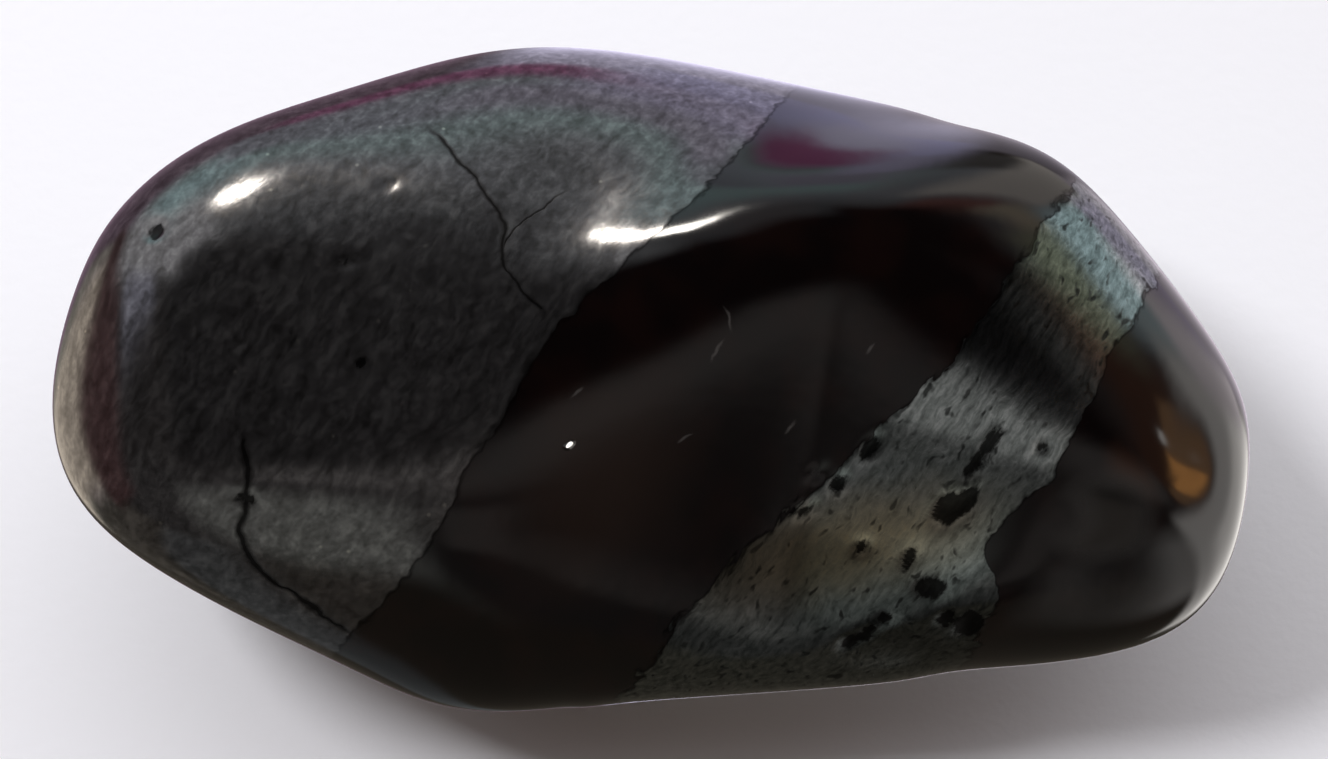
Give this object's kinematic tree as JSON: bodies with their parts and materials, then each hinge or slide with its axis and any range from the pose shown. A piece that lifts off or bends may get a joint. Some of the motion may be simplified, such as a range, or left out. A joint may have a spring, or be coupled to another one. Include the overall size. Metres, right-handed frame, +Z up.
{
  "type": "tumbled stone",
  "caption": "Polished tumbled pebble of banded ironstone: a long two-lobed form with a worn scoop on top, resting on a small flat spot.",
  "frame": {"origin": "on the surface that the stone rests on, under the middle of its outline", "axes": "+X along the length towards the lower, narrower lobe, +Y towards the far side where the crest is, +Z up"},
  "size_m": [0.0334, 0.0188, 0.0129],
  "materials": {
    "ironstone": "tumble-polished banded ironstone: grey granular hematite, dark red-brown jasper"
  },
  "bodies": {
    "root": {"stone": "ironstone"}
  },
  "joints": []
}
